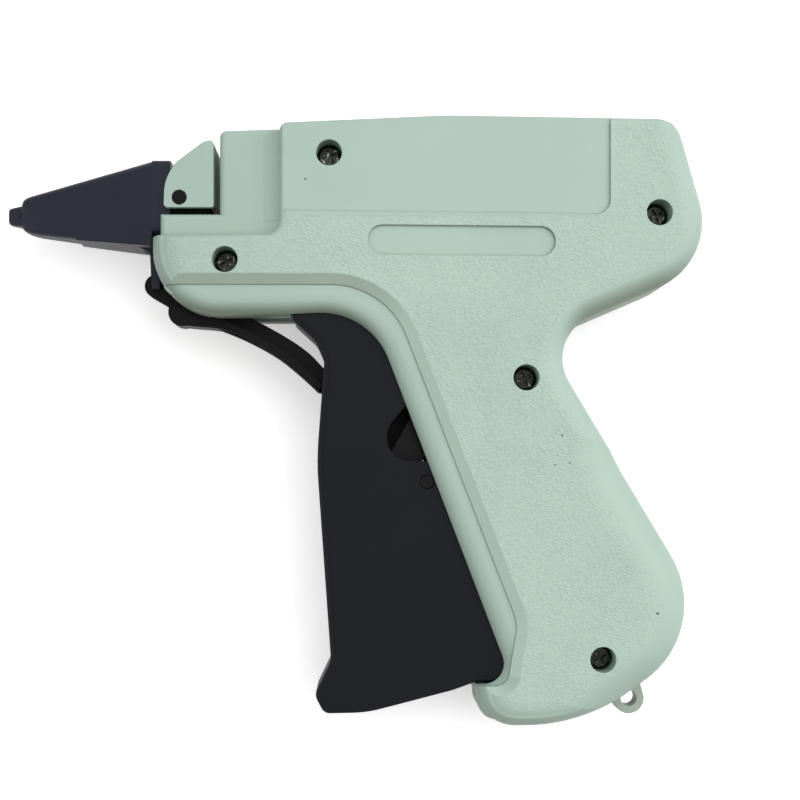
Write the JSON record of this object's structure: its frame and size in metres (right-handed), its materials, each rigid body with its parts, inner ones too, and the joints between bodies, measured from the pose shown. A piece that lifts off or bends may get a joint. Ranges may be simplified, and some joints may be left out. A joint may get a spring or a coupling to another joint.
{
  "type": "garment tag attacher",
  "caption": "Pistol-shaped hand tool that pushes plastic tag fasteners through a hollow needle when its long trigger is squeezed.",
  "frame": {"origin": "centre of the overall box's lowest face, which is the right side that the tool lies on", "axes": "+X from the needle to the back of the body, +Y from the foot of the grip to the top of the body, +Z from the right side to the left side"},
  "size_m": [0.1475, 0.1274, 0.025],
  "materials": {
    "housing": "pale mint moulded plastic, fine leather grain on the grip faces",
    "lock_lever": "pale mint smooth moulded plastic",
    "trigger": "blue-black satin moulded plastic",
    "needle_cover": "dark navy satin moulded plastic",
    "front_black": "black moulded plastic, fine grain",
    "lever": "black acetal, dull",
    "needle_base": "red moulded plastic",
    "needle_steel": "polished steel",
    "pin_steel": "ground steel",
    "spring_steel": "spring steel wire",
    "zinc_steel": "zinc-plated steel"
  },
  "bodies": {
    "body": {"left_housing": "housing", "right_housing": "housing", "housing_screws": "zinc_steel", "trigger_pivot_pin": "pin_steel", "lever_pivot_pin": "pin_steel", "feed_lever_pin": "pin_steel", "wheel_axle": "pin_steel", "rod_guide": "lever", "needle_seat": "front_black", "needle_base": "needle_base", "needle": "needle_steel", "cutter_blade": "needle_steel", "lock_lever_pins": "front_black"},
    "trigger": {"trigger": "trigger", "cross_pin": "front_black", "return_spring": "spring_steel"},
    "swing_lever": {"swing_lever": "lever"},
    "slider": {"slider": "lever", "slider_pin": "pin_steel", "pusher_rod": "spring_steel"},
    "feed_lever": {"feed_lever": "front_black", "feed_pawl": "spring_steel"},
    "feed_wheel": {"feed_wheel": "lever"},
    "lock_lever": {"lock_lever": "lock_lever"},
    "needle_cover": {"needle_cover": "needle_cover"}
  },
  "joints": [
    {"name": "trigger_squeeze", "type": "hinge", "parent": "body", "child": "trigger", "pos_m": [0.038, -0.049, 0.0125], "axis": [0, 0, -1], "range_deg": [0, 16], "stiffness_Nm_per_rad": 1.2, "springref_deg": -14.32, "deforming": ["return_spring"]},
    {"name": "lever_swing", "type": "hinge", "parent": "body", "child": "swing_lever", "pos_m": [0.027, 0, 0.0125], "axis": [0, 0, 1], "range_deg": [0, 48.01]},
    {"name": "slider_travel", "type": "slide", "parent": "body", "child": "slider", "axis": [-1, 0, 0], "range_m": [0, 0.04016]},
    {"name": "feed_swing", "type": "hinge", "parent": "body", "child": "feed_lever", "pos_m": [-0.0363, 0.0292, 0.0125], "axis": [0, 0, 1], "range_deg": [0, 22.01], "deforming": ["feed_pawl"]},
    {"name": "wheel_spin", "type": "hinge", "parent": "body", "child": "feed_wheel", "pos_m": [-0.034, 0.0348, 0.0102], "axis": [0, 0, 1], "range_deg": [-360, 0]},
    {"name": "lock_swing", "type": "hinge", "parent": "body", "child": "lock_lever", "pos_m": [-0.0354, 0.0472, 0.0125], "axis": [0, 0, 1], "range_deg": [0, 40]},
    {"name": "cover_pull", "type": "slide", "parent": "body", "child": "needle_cover", "axis": [-1, 0, 0], "range_m": [0, 0.05]}
  ],
  "couplings": [
    {"joint": "lever_swing", "follows": "trigger_squeeze", "ratio": 3},
    {"joint": "slider_travel", "follows": "trigger_squeeze", "m_per_rad": 0.14378},
    {"joint": "feed_swing", "follows": "trigger_squeeze", "ratio": 1.375}
  ]
}
